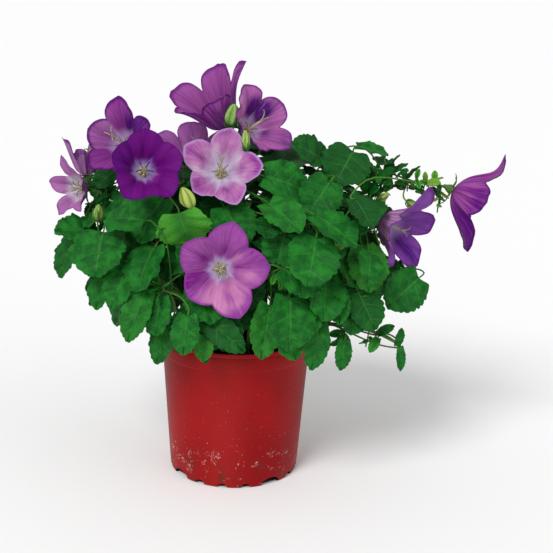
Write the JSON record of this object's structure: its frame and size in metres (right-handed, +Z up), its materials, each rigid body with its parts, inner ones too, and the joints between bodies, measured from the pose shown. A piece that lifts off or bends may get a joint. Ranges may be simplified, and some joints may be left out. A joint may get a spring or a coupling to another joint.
{
  "type": "potted bellflower",
  "caption": "Flowering bellflower in a tapered nursery pot: leafy stems fan out of the soil and end in open five-lobed blooms.",
  "frame": {"origin": "centre of the pot's flat underside, on the surface it stands on", "axes": "+Z up; -Y is the front, where most blooms face; +X to the right"},
  "size_m": [0.3064, 0.1938, 0.2853],
  "materials": {
    "pot": "thermoformed sheet, semi-gloss, scuffed near the foot",
    "soil": "dark crumbly potting soil, matte",
    "petals": "soft petal, violet to lilac, fine veins",
    "hearts": "cream pistil and stamens, matte",
    "foliage": "fresh green leaf, slight gloss, net veins"
  },
  "bodies": {
    "root": {"pot": "pot", "soil": "soil", "bloom_01_corolla": "petals", "bloom_01_heart": "hearts", "bloom_02_corolla": "petals", "bloom_02_heart": "hearts", "bloom_03_corolla": "petals", "bloom_03_heart": "hearts", "bloom_04_corolla": "petals", "bloom_04_heart": "hearts", "bloom_05_corolla": "petals", "bloom_05_heart": "hearts", "bloom_06_corolla": "petals", "bloom_06_heart": "hearts", "bloom_07_corolla": "petals", "bloom_07_heart": "hearts", "bloom_08_corolla": "petals", "bloom_08_heart": "hearts", "bloom_09_corolla": "petals", "bloom_09_heart": "hearts", "bloom_10_corolla": "petals", "bloom_10_heart": "hearts", "bloom_11_corolla": "petals", "bloom_11_heart": "hearts", "stem_01": "foliage", "stem_02": "foliage", "stem_03": "foliage", "stem_04": "foliage", "stem_05": "foliage", "stem_06": "foliage", "stem_07": "foliage", "stem_08": "foliage", "stem_09": "foliage", "stem_10": "foliage", "stem_11": "foliage", "stem_12": "foliage", "stem_13": "foliage", "stem_14": "foliage", "stem_15": "foliage", "stem_16": "foliage", "stem_17": "foliage", "stem_18": "foliage", "stem_19": "foliage", "stem_20": "foliage", "stem_21": "foliage", "stem_22": "foliage", "stem_23": "foliage", "stem_24": "foliage", "stem_25": "foliage", "stem_26": "foliage", "stem_27": "foliage", "stem_28": "foliage"}
  },
  "joints": []
}
